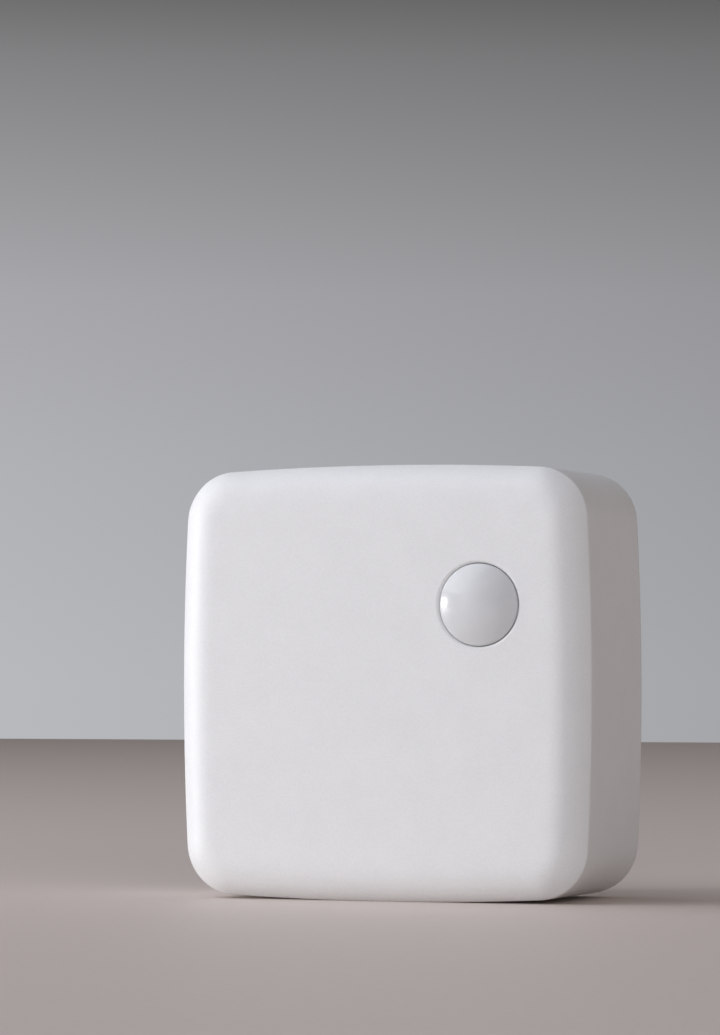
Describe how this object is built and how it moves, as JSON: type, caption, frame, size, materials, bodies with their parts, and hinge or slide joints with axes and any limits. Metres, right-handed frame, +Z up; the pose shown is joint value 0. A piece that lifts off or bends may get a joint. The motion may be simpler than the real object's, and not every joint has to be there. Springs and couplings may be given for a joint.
{
  "type": "bluetooth motion sensor tag",
  "caption": "Small white rounded-square wireless sensor tag with a milky dome lens in one corner, push-fit rear cover, replaceable coin cell and pair button.",
  "frame": {"origin": "middle of the footprint, on the surface the tag stands on", "axes": "X along the width, +Z up, the front face with the lens looks along -Y, the rear cover faces +Y"},
  "size_m": [0.05, 0.023, 0.0499],
  "materials": {
    "case_plastic": "fine spark-eroded matte white",
    "lens_plastic": "milky translucent gloss",
    "cover_plastic": "matte white",
    "retainer_plastic": "satin grey-white",
    "pad_foam": "soft double-sided foam pad",
    "label_paper": "blank satin label",
    "dark_foam": "closed-cell foam",
    "carrier_plastic": "satin light grey",
    "board_laminate": "green solder mask",
    "spacer_plastic": "black moulded",
    "gold_plate": "gold plated steel",
    "can_metal": "drawn nickel plated steel",
    "window_filter": "dark infrared filter",
    "radio_laminate": "dark blue solder mask",
    "antenna_copper": "bare copper",
    "chip_epoxy": "black moulding compound",
    "tin_plate": "tin plated",
    "ceramic_tan": "fired ceramic",
    "resistor_black": "glazed black",
    "led_resin": "clear yellowish resin",
    "cell_steel": "brushed nickel plated steel",
    "gasket_plastic": "black sealing ring",
    "contact_metal": "gold flashed spring strip",
    "button_plastic": "white moulded",
    "plunger_plastic": "black moulded",
    "screw_steel": "zinc plated steel"
  },
  "bodies": {
    "housing": {"front_shell": "case_plastic", "lens": "lens_plastic", "lens_retainer": "retainer_plastic", "carrier": "carrier_plastic", "main_board": "board_laminate", "sensor_spacer": "spacer_plastic", "sensor_base": "gold_plate", "sensor_can": "can_metal", "sensor_window": "window_filter", "sensor_leads": "gold_plate", "radio_board": "radio_laminate", "radio_shield": "can_metal", "antenna_trace": "antenna_copper", "controller_chip": "chip_epoxy", "amplifier_chip": "chip_epoxy", "amplifier_leads": "tin_plate", "crystal": "can_metal", "capacitors": "ceramic_tan", "resistors": "resistor_black", "chip_terminals": "tin_plate", "status_led": "led_resin", "positive_contact": "contact_metal", "negative_contact": "contact_metal", "switch_body": "spacer_plastic", "switch_frame": "can_metal", "case_screws": "screw_steel"},
    "cover": {"rear_cover": "cover_plastic", "adhesive_pad": "pad_foam", "blank_label": "label_paper", "cell_pad": "dark_foam"},
    "cell": {"cell_can": "cell_steel", "cell_cap": "cell_steel", "cell_gasket": "gasket_plastic"},
    "button": {"button_cap": "button_plastic", "switch_plunger": "plunger_plastic"}
  },
  "joints": [
    {"name": "cover_pull", "type": "slide", "parent": "housing", "child": "cover", "axis": [0, 1, 0], "range_m": [0, 0.03]},
    {"name": "cell_pull", "type": "slide", "parent": "housing", "child": "cell", "axis": [0, 1, 0], "range_m": [0, 0.0136]},
    {"name": "button_press", "type": "slide", "parent": "housing", "child": "button", "axis": [0, -1, 0], "range_m": [0, 0.00025], "stiffness_N_per_m": 6000}
  ],
  "couplings": [
    {"joint": "cell_pull", "follows": "cover_pull", "ratio": 0.45}
  ]
}
